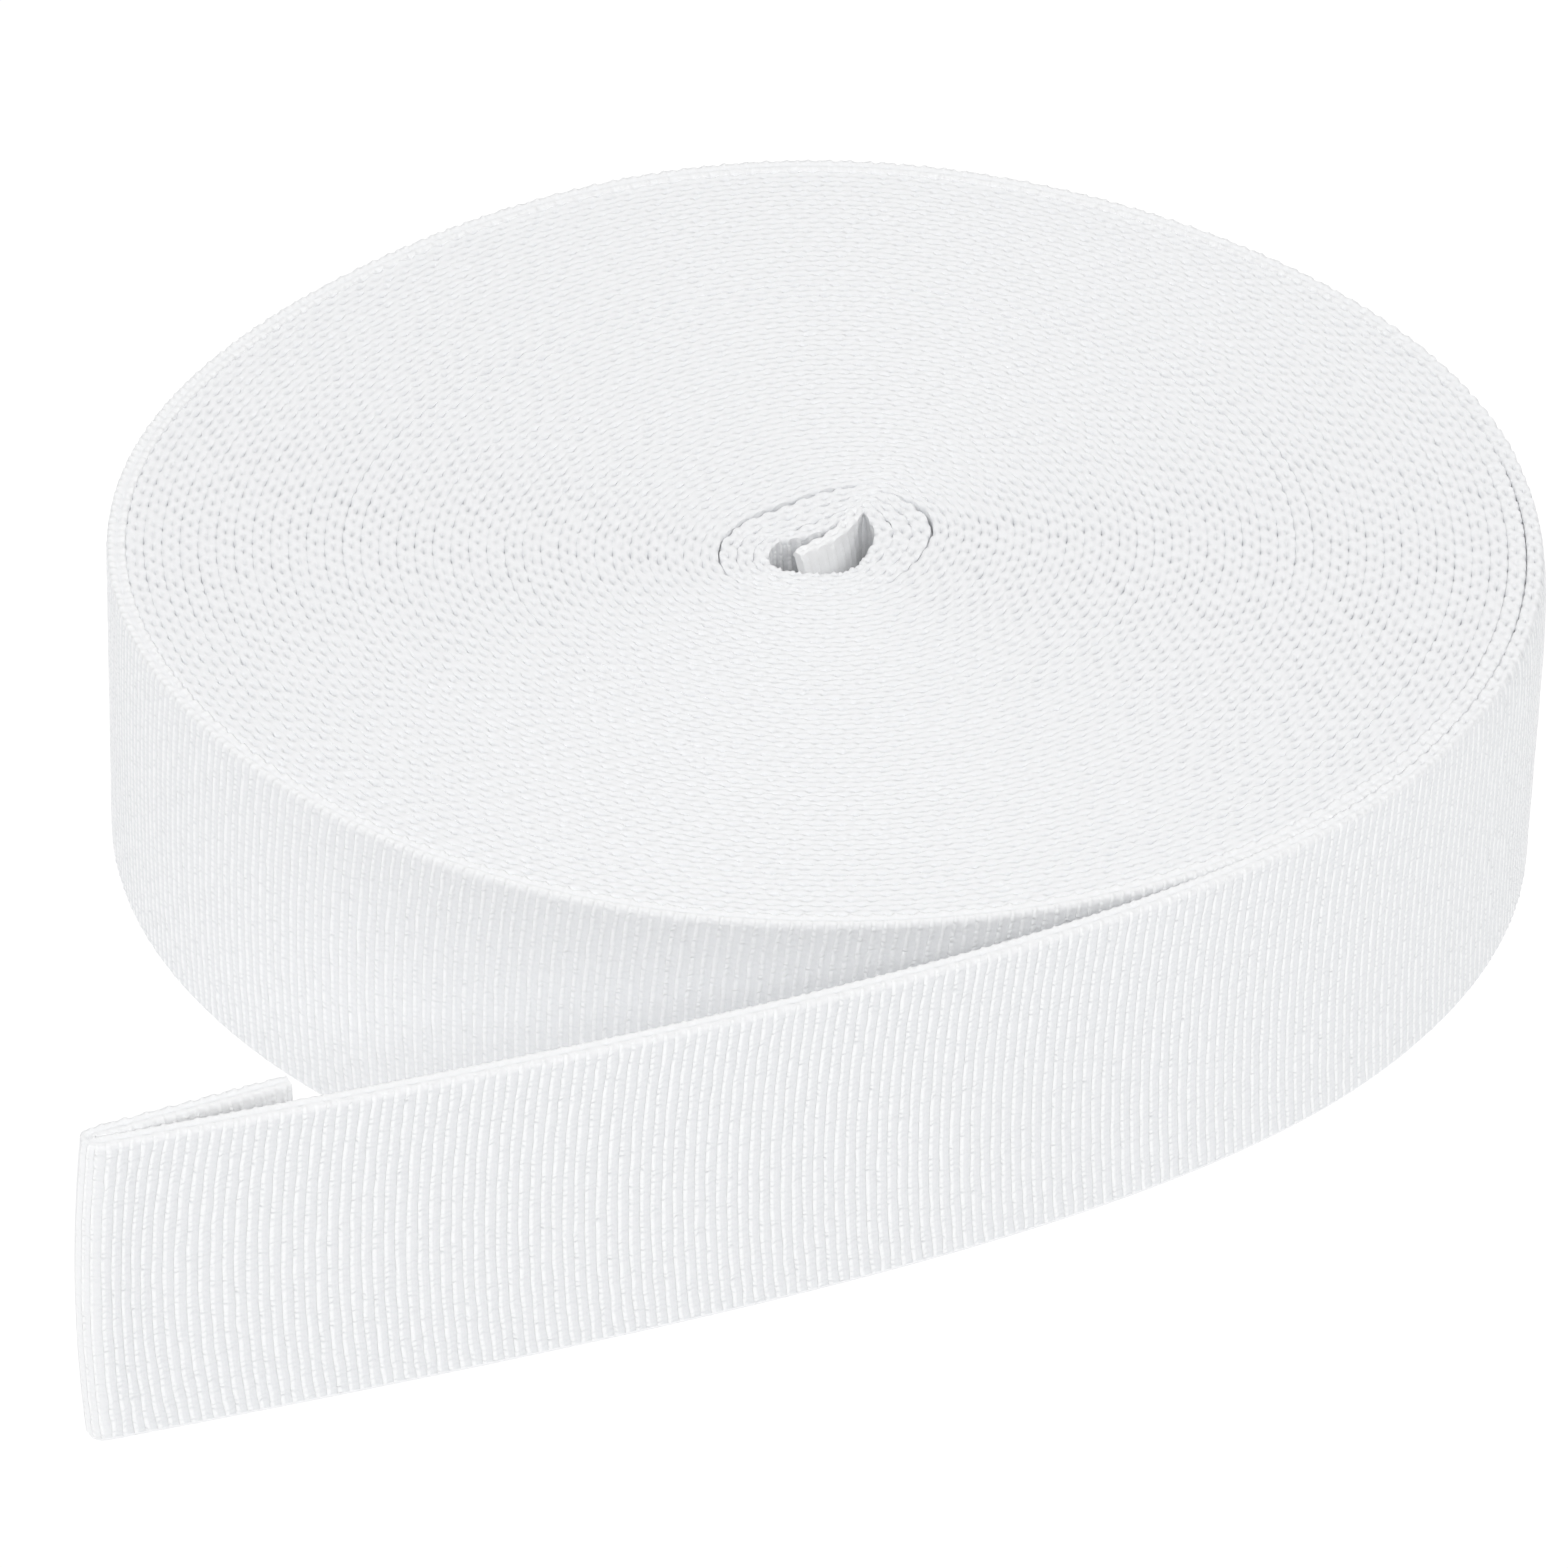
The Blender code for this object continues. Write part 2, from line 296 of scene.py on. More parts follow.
heading = math.atan2(*(wound_line[-1] - wound_line[-2])[::-1]) % (2 * math.pi)
gone = (np.arange(FREE_POINTS) + 0.5) * FREE_LENGTH / FREE_POINTS
free_line = walk(
    wound_line[-1],
    FREE_HEADING + (heading - FREE_HEADING) * np.exp(-gone / EASE_LENGTH),
    FREE_LENGTH / FREE_POINTS,
)
heading = FREE_HEADING + (heading - FREE_HEADING) * math.exp(-FREE_LENGTH / EASE_LENGTH)
FOLD_WAY = np.array([math.cos(heading), math.sin(heading)])
fold_turn = math.pi - FOLD_OPENING
fold_headings = heading - fold_turn * (np.arange(FOLD_POINTS) + 0.5) / FOLD_POINTS
fold_line = walk(free_line[-1], fold_headings, FOLD_RADIUS * fold_turn / FOLD_POINTS)
back_headings = np.full(BACK_POINTS, heading - fold_turn)
back_line = walk(fold_line[-1], back_headings, BACK_LENGTH / BACK_POINTS)

# Every point's own facts: the turns wound so far, the room to the next turn, and the slack.
pieces_of_line = [inner_end, tight_line, wound_line, free_line, fold_line, back_line]
lengths = [len(part) for part in pieces_of_line]
after = lengths[3] + lengths[4] + lengths[5]
turns_so_far = np.concatenate([np.zeros(lengths[0]), tight, TIGHT_TURNS + wound])
turns_so_far = np.concatenate([turns_so_far, np.full(after, turns_so_far[-1])])
slant = np.gradient(tight_face(tight) + tight_pitch / 2, length_along(tight_line))
room = np.concatenate(
    [
        np.interp(np.arange(lengths[0]), *np.array(INNER_END_ROOM).T),
        tight_pitch * np.sqrt(np.clip(1 - slant**2, LEAST_SLANT_ROOM, 1.0)),
        wound_pitch,
        np.full(after, WEB_THICK + SNUG),
    ]
)
slack_kept = np.clip(1 - (turns_in - 1) / SLACK_TURNS, 0, 1) ** SLACK_FADE
slack_here = np.concatenate(
    [
        np.zeros(lengths[0] + lengths[1]),
        SLACK * np.sin(math.pi * loose_share**SLACK_LEAN) ** 2 * slack_kept,
        np.zeros(after),
    ]
)

rough_line = np.concatenate(pieces_of_line)
rough_along = length_along(rough_line)
ALONG = np.arange(0.0, rough_along[-1], LINE_STEP)
LINE = [np.interp(ALONG, rough_along, rough_line[:, axis]) for axis in (0, 1)]
LINE = np.stack([eased(values, LINE_EASED) for values in LINE], axis=1)
TURNS = np.interp(ALONG, rough_along, turns_so_far)
THICK = eased(np.interp(ALONG, rough_along, room), ROOM_EASED) - SNUG
THICK = eased(np.where(TURNS > TIGHT_TURNS + last_wound, WEB_THICK, THICK), THICK_EASED)
LOOSENESS = np.interp(ALONG, rough_along, slack_here)
ends = np.cumsum(lengths) - 1
INNER_END_AT, TIGHT_AT, _, FREE_AT, FOLD_AT, BACK_AT = rough_along[ends]
OUTER_AT, LOOSE_AT = np.interp(TIGHT_TURNS + last_wound + np.array([-1.0, 0.0]), TURNS, ALONG)

OUTWARD = np.gradient(LINE, axis=0)
OUTWARD = OUTWARD / np.linalg.norm(OUTWARD, axis=1)[:, None]
OUTWARD = np.stack([-OUTWARD[:, 1], OUTWARD[:, 0]], axis=1)


# The web itself: heavy white nylon, woven with a cord-like rib across it every 1.2 mm. Its two
# long edges are rounded selvages, where the yarns turn back in two rows of small loops.
RIB_PITCH = 1.2
RIB_DEPTH = 0.15
RIB_BOW = 1.2
RIB_WANDER = 0.12
RIB_UNEVEN = 0.25
RIB_STEPS = 6

# The ribs' bow fades out at the ends of a piece and round the fold, and their relief near an edge,
# over these lengths in mm.
BOW_FADES = 3
BOW_FLAT_AT_FOLD = 5
EDGE_FADES = 0.4

# The loops' pitch, the dips between them, how far they stand up, and how uneven they are. On a
# smooth selvage the ribs' ends stand up by SCALLOP times their height instead.
LOOP_PITCH = 2.3
LOOP_DIP = 0.75
LOOP_RISE = 0.12
LOOP_LUMPS = 0.10
LOOP_WANDER = 0.3
LOOP_STEPS = 6
SCALLOP = 2

# A dip's narrowness, its mean depth and how much that varies, and how steeply its sides fall
# across the edge.
DIP_NARROW = 0.15
DIP_MEAN = 0.8
DIP_VARIES = 0.45
DIP_STEEP = 4.5

# Small teeth on the hole's front edge: their height, their pitch, where they are in turns, and how
# they fade across the edge.
HOLE_TEETH = 0.7
HOLE_TOOTH_PITCH = 0.9
TEETH_AT = 0.42
TEETH_WIDTH = 0.16
TEETH_STEEP = 2
TEETH_CUT = 0.7

# The ribs are worn flatter from the inner end to WORN_BEYOND mm past its bend.
WORN = 0.55
WORN_BEYOND = 25
WORN_FADES = 5

# A rib's height against its place from the edge nearer the free end: a steep cord, a flat, a groove.
# The material also paints this profile into the colour: a painted highlight on the cord, painted
# shade in the flat and the groove.
RIB_PROFILE = ((0.0, 0.3), (0.07, 1.0), (0.34, 0.85), (0.48, 0.33), (0.90, 0.2), (1.0, 0.3))

# Where the wall behind the loose end, shaded by it, gets the most painted light and where the outer
# edges are rubbed rough, in turns from where the outermost turn starts, and how much painted light
# and how rough they are there.
BEHIND_AT = 0.27
BEHIND_WIDTH = 0.13
BEHIND_PAINTED_LIGHT = 0.5
RUBBED_AT = 0.02
RUBBED_WIDTH = 0.10
RUBBED_MOST = 0.9

# The painted light round the fold and its reach in mm. The loose end's inside gets painted light over
# INSIDE_FADES mm, and that starts INSIDE_STARTS times as far before the fold.
FOLD_PAINTED_LIGHT = 0.7
FOLD_PAINTED_LIGHT_REACH = 1.7
INSIDE_FADES = 10
INSIDE_STARTS = 3

# Round the fold the ribs are pressed flat, and the cloth's outside shows more of them.
FOLD_PRESSED = 1.5
FOLD_MORE_RIBS = 3

# The section's corners across the top edge, as shares of half the thickness and depths in mm: a
# row of loops on each side of the middle. Then the corners of the foot, with heights, and the share
# of the web's width that a face's corners reach up and down from its middle.
ROW_CORNER = 0.50
EDGE_CORNERS = (
    (-1.0, 0.04),
    (-0.84, 0.02),
    (-ROW_CORNER, 0.0),
    (-0.16, 0.02),
    (0.0, 0.04),
    (0.16, 0.02),
    (ROW_CORNER, 0.0),
    (0.84, 0.02),
    (1.0, 0.04),
)
OFF_MIDDLE = 0.4
AT_SIDE = 0.8
FOOT_CORNERS = ((1.0, 0.5), (0.6, 0.0), (-0.6, 0.0), (-1.0, 0.5))
FACE_REACH = 0.482

# Groups of turns stand a little lower or higher than the next, as does each turn. The step to
# the next group takes the given number of turns.
TurnGroup = namedtuple("TurnGroup", "until_turn drop step_turns")
TURN_GROUPS = (
    TurnGroup(3, 0.25, 0.4),
    TurnGroup(15, 0.05, 2.0),
    TurnGroup(24, 0.20, 2.0),
    TurnGroup(32.5, 0.0, 2.0),
    TurnGroup(37, 0.15, 2.0),
    TurnGroup(99, 0.0, 2.0),
)

# A turn's own drop in mm, the turn at which that ends, and the turns over which it does.
OWN_DROP = 0.03
OWN_DROP_ENDS = 38.0
OWN_DROP_FADES = 0.6


def waver(values, count, seed):
    """Uneven smooth noise from -1 to 1: the mean of count sine waves of unrelated lengths."""
    total = np.zeros_like(values)
    for i in range(count):
        total += np.sin(values * (1.0 + 0.618 * i + 0.13 * seed) + 2.4 * i * i + seed)
    return total / count


def top_height(along):
    """Height of the web's upper edge: its width, less its group's drop and the turn's own."""
    turns = np.interp(along, ALONG, TURNS)
    drop = np.zeros_like(turns)
    for group, after_it in zip(TURN_GROUPS, TURN_GROUPS[1:]):
        step = np.clip((turns - group.until_turn) / group.step_turns + 0.5, 0, 1)
        drop += (after_it.drop - group.drop) * step * step * (3 - 2 * step)
    own = OWN_DROP * (1 + waver(turns * 3.9, 4, 1))
    own = own * np.clip((OWN_DROP_ENDS - turns) / OWN_DROP_FADES, 0, 1)
    return WEB_WIDTH - drop - own


def face_heights(count):
    """Shares of the web's width at count corners up a face, closer together near the edges."""
    if count == 0:
        return np.zeros(0)
    return 0.5 - FACE_REACH * np.cos(np.linspace(0.0, math.pi, count))


def rib_height(along, share):
    """A rib's stand-out from the face: the profile once every RIB_PITCH of length."""
    profile = np.interp(1 - (along / RIB_PITCH) % 1.0, *np.array(RIB_PROFILE).T)
    return RIB_DEPTH * profile * (1 + RIB_UNEVEN * waver(along * 1.3 + share * 9.0, 3, 5))


def loop_dip(along):
    """Depth of the dips between edge loops, narrow and 1 at its deepest, every LOOP_PITCH."""
    wave = np.abs(np.sin(math.pi * (along + LOOP_WANDER * waver(along * 0.7, 3, 4)) / LOOP_PITCH))
    narrowed = np.clip((1 + DIP_NARROW) * (1 - wave) - DIP_NARROW, 0, 1)
    return narrowed * (DIP_MEAN + DIP_VARIES * waver(along * 0.9, 3, 3))


def smooth_here(stations, smooth_edge):
    """How smooth an outer turn's edge is along it: less so on the right, where it was rubbed."""
    turns = np.interp(stations, ALONG, TURNS) - np.interp(OUTER_AT, ALONG, TURNS)
    from_right = (turns - RUBBED_AT + 0.5) % 1.0 - 0.5
    return smooth_edge * (1 - RUBBED_MOST * np.exp(-((from_right / RUBBED_WIDTH) ** 2)))[:, None]


def edge_dips(along, across, smooth):
    """The dips of both of an edge's rows of loops: one row of dips along its middle and one along
    each of its sides. A side shares its dips with the neighbouring turn, so the dips of the
    inner side are where the turn below has those of its outer side."""
    turns = np.interp(along, ALONG, TURNS)
    below = np.where(turns > 1, np.interp(turns - 1, TURNS, ALONG), along)
    middle = loop_dip(along + LOOP_PITCH / 2) * np.clip(1.0 - np.abs(across) * DIP_STEEP, 0, 1)
    outer = loop_dip(along) * np.clip(across * DIP_STEEP - (DIP_STEEP - 1), 0, 1)
    inner = loop_dip(below) * np.clip(-across * DIP_STEEP - (DIP_STEEP - 1), 0, 1)
    return (middle + outer) * (1 - smooth) + inner


def paleness(stations, across, share, faces, smooth):
    """How much painted light the web gets, from 0 to 1: the tongue, the wall behind the loose end,
    the fold's outside and the loose end's inside round the fold get painted light where shade falls
    on them, and the smooth selvages get painted light for the light that shines through them."""
    turns = np.interp(stations, ALONG, TURNS) - np.interp(OUTER_AT, ALONG, TURNS)
    behind = BEHIND_PAINTED_LIGHT * np.exp(-(((turns - BEHIND_AT) / BEHIND_WIDTH) ** 2))
    behind = behind * (stations < LOOSE_AT)
    inside = np.clip((stations - FREE_AT) / INSIDE_FADES + INSIDE_STARTS, 0, 1)
    tongue = np.clip(1 - stations / INNER_END_AT, 0, 1) ** 0.5
    fold = FOLD_PAINTED_LIGHT * np.exp(-(((stations - (FREE_AT + FOLD_AT) / 2) / FOLD_PAINTED_LIGHT_REACH) ** 2))
    pale = (behind + fold)[:, None] * (faces > 0) + inside[:, None] * (faces < 0) + tongue[:, None]
    return np.clip(pale + smooth * (share == 1.0) * (np.abs(across) > OFF_MIDDLE), 0, 1)


def web_piece(name, start, end, step, outer_corners, inner_corners, smooth_edge=0.0):
    """A stretch of webbing from start to end of the line, as a closed mesh on a grid of stations
    along it and corners round its section, from the foot up the inner face and back down the
    outer one. Each station is sheared into the bow that the ribs have."""
    inside = np.arange(math.ceil(start / step + 0.25), math.floor(end / step - 0.25) + 1) * step
    stations = np.concatenate([[start], inside, [end]])
    inner = face_heights(inner_corners)
    outer = face_heights(outer_corners)[::-1]
    across = [c[0] for c in FOOT_CORNERS[2:]] + [-1.0] * inner_corners
    across += [c[0] for c in EDGE_CORNERS] + [1.0] * outer_corners
    across = np.array(across + [c[0] for c in FOOT_CORNERS[:2]])
    share = np.concatenate([[0, 0], inner, np.ones(len(EDGE_CORNERS)), outer, [0, 0]])
    offset = [c[1] for c in FOOT_CORNERS[2:]] + [0.0] * inner_corners
    grooves = np.where(np.abs([c[0] for c in EDGE_CORNERS]) < OFF_MIDDLE, 1 - smooth_edge, 1.0)
    offset += list(-grooves * [c[1] for c in EDGE_CORNERS]) + [0.0] * outer_corners
    offset = np.array(offset + [c[1] for c in FOOT_CORNERS[:2]])
    ribbed = [0, 0] + [-1] * inner_corners + [0] * len(EDGE_CORNERS) + [1] * outer_corners + [0, 0]
    ribbed = np.array(ribbed, dtype=float)

    bow = RIB_BOW * (1 - (2 * share - 1) ** 2)
    fade = np.clip((stations - start) / BOW_FADES, 0, 1) * np.clip((end - stations) / BOW_FADES, 0, 1)
    fade = fade * (1 - np.exp(-(((stations - FREE_AT) / BOW_FLAT_AT_FOLD) ** 2)))
    along = stations[:, None] + bow[None, :] * fade[:, None]
    wander = waver(share[None, :] * 25 + stations[:, None] * 0.6, 4, 2)
    weave = stations[:, None] + RIB_WANDER * wander
    in_fold = np.clip((stations - FREE_AT) / (FOLD_AT - FREE_AT), 0, 1)
    weave = weave + FOLD_MORE_RIBS * RIB_PITCH * in_fold[:, None]
    thick = np.interp(along, ALONG, THICK)
    x = np.interp(along, ALONG, LINE[:, 0])
    y = np.interp(along, ALONG, LINE[:, 1])
    out_x = np.interp(along, ALONG, OUTWARD[:, 0])
    out_y = np.interp(along, ALONG, OUTWARD[:, 1])

    z = top_height(along) * share[None, :] + offset[None, :]
    smooth = smooth_here(stations, smooth_edge)
    edge_distance = np.minimum(share, 1 - share) * WEB_WIDTH
    pressed = np.exp(-(((stations - (FREE_AT + FOLD_AT) / 2) / FOLD_PRESSED) ** 4))
    near = np.clip(edge_distance / EDGE_FADES, 0, 1)[None, :]
    near = np.where((share == 1.0) & (across > AT_SIDE), smooth, near)
    worn = WORN * np.clip((INNER_END_AT + WORN_BEYOND - stations) / WORN_FADES, 0, 1)
    near = near * (1 - worn[:, None])
    relief = rib_height(weave, share[None, :]) * near * ribbed * (1 - pressed[:, None])
    stand_off = across[None, :] * thick / 2 + relief
    slack = np.interp(along, ALONG, LOOSENESS)
    depth_down = WEB_WIDTH - z
    stand_off = stand_off + slack * (1 - (1 - SLACK_AT_TOP) * np.exp(-depth_down / SLACK_DEPTH))
    leaning = np.clip(1 - along / (INNER_END_AT - INNER_LEAN_ENDS), 0, 1) ** INNER_LEAN_SHAPE
    stand_off = stand_off - INNER_LEAN * leaning * (1 - np.exp(-depth_down / INNER_LEAN_DEPTH))
    turns = np.interp(along, ALONG, TURNS)
    giving = np.exp(-(((turns % 1.0 - WALL_LEAN_AT) / WALL_LEAN_WIDTH) ** 2))
    giving = giving * np.clip(1 - turns / TIGHT_TURNS, 0, 1)
    stand_off = stand_off + WALL_LEAN * giving * (1 - np.exp(-depth_down / WALL_LEAN_DEPTH))

    # These dips are real hollows, and their depth is also the mask of the painted shade in them.
    dips = edge_dips(along, across[None, :], smooth) * (share == 1.0)[None, :]
    loops = np.abs(np.sin(math.pi * (along / LOOP_PITCH + np.sign(across) / 4)))
    in_row = np.abs(across) == ROW_CORNER
    z = z - LOOP_DIP * dips + LOOP_RISE * (loops - 0.5) * in_row * (1 - smooth)
    lumps = waver(along * 2.4 + across * 7.0, 3, 6) * (share == 1.0) * (np.abs(across) < 1.0)
    z = z + LOOP_LUMPS * lumps * (1 - smooth)
    teeth = 1 - np.abs(np.sin(math.pi * along / HOLE_TOOTH_PITCH + waver(along, 3, 2)))
    teeth = teeth * np.exp(-(((turns - TEETH_AT) / TEETH_WIDTH) ** 2))
    at_hole = (share == 1.0) * np.clip(-TEETH_STEEP * across - TEETH_CUT, 0, 1)
    at_hole = at_hole * (stations > INNER_END_AT)[:, None]
    z = z - HOLE_TEETH * teeth * at_hole
    scalloped = (share == 1.0) & (np.abs(across) > OFF_MIDDLE)
    z = z + SCALLOP * rib_height(weave, share[None, :]) * smooth * scalloped

    points = np.stack([x + out_x * stand_off, y + out_y * stand_off, z], axis=2)
    points[:, :, :2] += WINDING_AT
    fold_bow = FOLD_BOW * bow / RIB_BOW * np.exp(-(((along - FREE_AT) / FOLD_BOW_REACH) ** 2))
    points[:, :, :2] += fold_bow[:, :, None] * FOLD_WAY
    creases = [] if smooth_edge else np.nonzero((share == 1.0) & (np.abs(across) == 1.0))[0]
    # Painted light on the tongue, behind the loose end, round the fold, on the loose end's inside and
    # on the smooth selvages.
    pale = paleness(stations, across, share, ribbed, smooth)
    return closed_strip(name, points, weave, across, near, dips, pale, creases)


def closed_strip(name, points, weave, across, near, dips, pale, creases):
    """A mesh from a grid of points [station, corner] whose corners run round a closed section, with
    flat caps on both ends, a UV map in mm along and round the web, and three attributes: how ribbed
    the web is, how deep in a dip, which is also where painted shade goes, and how much painted light
    it gets. It is smooth but at the creases."""
    stations, corners = points.shape[:2]
    i, j = np.meshgrid(np.arange(stations - 1), np.arange(corners), indexing="ij")
    next_j = (j + 1) % corners
    here, ahead = i * corners, (i + 1) * corners
    quads = np.stack([here + j, ahead + j, ahead + next_j, here + next_j], axis=2).reshape(-1, 4)
    last = (stations - 1) * corners
    caps = np.concatenate([np.arange(corners), last + np.arange(corners)[::-1]])
    loops = np.concatenate([quads.ravel(), caps])
    starts = np.concatenate([np.arange(len(quads)) * 4, len(quads) * 4 + np.array([0, corners])])

    mesh = bpy.data.meshes.new(name)
    mesh.vertices.add(stations * corners)
    mesh.vertices.foreach_set("co", (points * MM).ravel())
    mesh.loops.add(len(loops))
    mesh.loops.foreach_set("vertex_index", loops.astype(np.int32))
    mesh.polygons.add(len(starts))
    mesh.polygons.foreach_set("loop_start", starts.astype(np.int32))
    mesh.update(calc_edges=True)
    mesh.validate()

    section = points[stations // 2]
    steps = np.hypot(*np.diff(np.stack([across * WEB_THICK / 2, section[:, 2]], axis=1), axis=0).T)
    round_it = np.concatenate([[0.0], np.cumsum(steps)])
    u = weave.ravel()[loops]
    v = np.tile(round_it, stations)[loops]
    wraps = (next_j == 0).ravel()
    v[: len(quads) * 4].reshape(-1, 4)[wraps, 2:] = round_it[-1] + WEB_THICK / 2
    uv = mesh.uv_layers.new(name="weave")
    uv.data.foreach_set("uv", np.stack([u, v], axis=1).astype(np.float32).ravel())
    for label, values in (("ribbed", near), ("dip", dips), ("pale", pale)):
        attribute = mesh.attributes.new(label, "FLOAT", "POINT")
        attribute.data.foreach_set("value", values.astype(np.float32).ravel())
    mesh.shade_smooth()
    mesh.polygons[-1].use_smooth = False
    mesh.polygons[-2].use_smooth = False
    edge_ends = np.zeros(len(mesh.edges) * 2, np.int32)
    mesh.edges.foreach_get("vertices", edge_ends)
    corner_of = edge_ends.reshape(-1, 2) % corners
    creased = (corner_of[:, 0] == corner_of[:, 1]) & np.isin(corner_of[:, 0], creases)
    mesh.edges.foreach_set("use_edge_sharp", creased)

    piece = bpy.data.objects.new(name, mesh)
    bpy.context.scene.collection.objects.link(piece)
    return piece


def add_node(tree, kind, **values):
    """A new node with its properties set, and its numbered inputs given as in0, in1 and so on:
    a socket is linked and a number is set."""
    node = tree.nodes.new(kind)
    for key, value in values.items():
        if key.startswith("in") and key[2:].isdigit():
            socket = node.inputs[int(key[2:])]
            if isinstance(value, bpy.types.NodeSocket):
                tree.links.new(value, socket)
            else:
                socket.default_value = value
        else:
            setattr(node, key, value)
    return node


def maths(tree, operation, first, second=0.0, third=0.0):
    """The output of a Math node."""
    node = add_node(tree, "ShaderNodeMath", operation=operation, in0=first, in1=second, in2=third)
    return node.outputs[0]


# The weave's unevenness and grain: noise scales per mm and detail, how far the unevenness shifts the
# warp bumps, how their depth follows from it, both in height and in the painted shade between them,
# the grain's share, and the level of plain web, which has no painted shade.
UNEVEN_SCALE, UNEVEN_DETAIL = 0.8, 2.0
WARP_SHIFT = 1.6
BUMPS_DEPTH, BUMPS_DEPTH_FROM = 2.0, -0.5
GRAIN_SCALE, GRAIN_DETAIL = 3.0, 3.0
GRAIN_SHARE = 0.3
PLAIN_LEVEL = 0.9


def woven_group():
    """The fine weave, from a place on the web in mm: the ribs' profile, its cords and flats broken
    into small warp bumps that are set off by half a bump from rib to rib, and an uneven grain. It
    puts out one value, used at once as a height and as painted light and shade in the colour: from 0
    in the grooves, painted shade, to 1 on the cords, painted highlight, with painted shade between
    the warp bumps too."""
    tree = bpy.data.node_groups.new("woven_web", "ShaderNodeTree")
    tree.interface.new_socket(name="Place", in_out="INPUT", socket_type="NodeSocketVector")
    for label in ("Rib Pitch", "Warp Pitch", "Ribbed"):
        tree.interface.new_socket(name=label, in_out="INPUT", socket_type="NodeSocketFloat")
    tree.interface.new_socket(name="Weave", in_out="OUTPUT", socket_type="NodeSocketFloat")
    ins = add_node(tree, "NodeGroupInput").outputs
    outs = add_node(tree, "NodeGroupOutput").inputs

    place = add_node(tree, "ShaderNodeSeparateXYZ", in0=ins["Place"]).outputs
    uneven = add_node(tree, "ShaderNodeTexNoise", noise_dimensions="2D")
    tree.links.new(ins["Place"], uneven.inputs["Vector"])
    uneven.inputs["Scale"].default_value = UNEVEN_SCALE
    uneven.inputs["Detail"].default_value = UNEVEN_DETAIL

    rib = maths(tree, "DIVIDE", place[0], ins["Rib Pitch"])
    from_edge = maths(tree, "SUBTRACT", 1.0, maths(tree, "FRACT", rib))
    profile = add_node(tree, "ShaderNodeValToRGB", in0=from_edge)
    stops = profile.color_ramp.elements
    stops.remove(stops[1])
    for stop, (position, height) in zip(
        [stops[0]] + [stops.new(position) for position, _ in RIB_PROFILE[1:]], RIB_PROFILE
    ):
        stop.position = position
        stop.color = (height, height, height, 1.0)

    warp = maths(tree, "DIVIDE", place[1], ins["Warp Pitch"])
    warp = maths(tree, "MULTIPLY_ADD", maths(tree, "FLOOR", rib), 0.5, warp)
    warp = maths(tree, "MULTIPLY_ADD", uneven.outputs["Fac"], WARP_SHIFT, warp)
    bumps = maths(tree, "ABSOLUTE", maths(tree, "SINE", maths(tree, "MULTIPLY", warp, math.pi)))
    depth = maths(tree, "MULTIPLY_ADD", uneven.outputs["Fac"], BUMPS_DEPTH, BUMPS_DEPTH_FROM)
    # Between the warp bumps the value drops: a dip in the bump's height and painted shade in the
    # colour.
    broken = maths(tree, "MULTIPLY", maths(tree, "SUBTRACT", 1.0, bumps), depth)
    woven = maths(tree, "MULTIPLY", profile.outputs["Color"], maths(tree, "SUBTRACT", 1.0, broken))

    grain = add_node(tree, "ShaderNodeTexNoise", noise_dimensions="2D")
    tree.links.new(ins["Place"], grain.inputs["Vector"])
    grain.inputs["Scale"].default_value = GRAIN_SCALE
    grain.inputs["Detail"].default_value = GRAIN_DETAIL
    woven = maths(tree, "MULTIPLY_ADD", grain.outputs["Fac"], GRAIN_SHARE, woven)
    lowered = maths(tree, "MULTIPLY", maths(tree, "SUBTRACT", PLAIN_LEVEL, woven), ins["Ribbed"])
    tree.links.new(maths(tree, "SUBTRACT", PLAIN_LEVEL, lowered), outs["Weave"])
    return tree


# The nylon's warp pitch in mm, its colours: the white of the cords, the painted shade of the grooves,
# the painted shade in the dips and the painted light; how much of the painted light a place takes at
# most, and the bump's height in metres.
WARP_PITCH = 0.75
NYLON_LIGHT = (0.96, 0.965, 0.975, 1.0)
NYLON_GROOVE_SHADE = (0.73, 0.745, 0.765, 1.0)
NYLON_DIP_SHADE = (0.66, 0.675, 0.70, 1.0)
NYLON_PAINTED_LIGHT = (0.985, 0.988, 0.992, 1.0)
PAINTED_LIGHT_MOST = 0.85
BUMP_HEIGHT = 0.0001


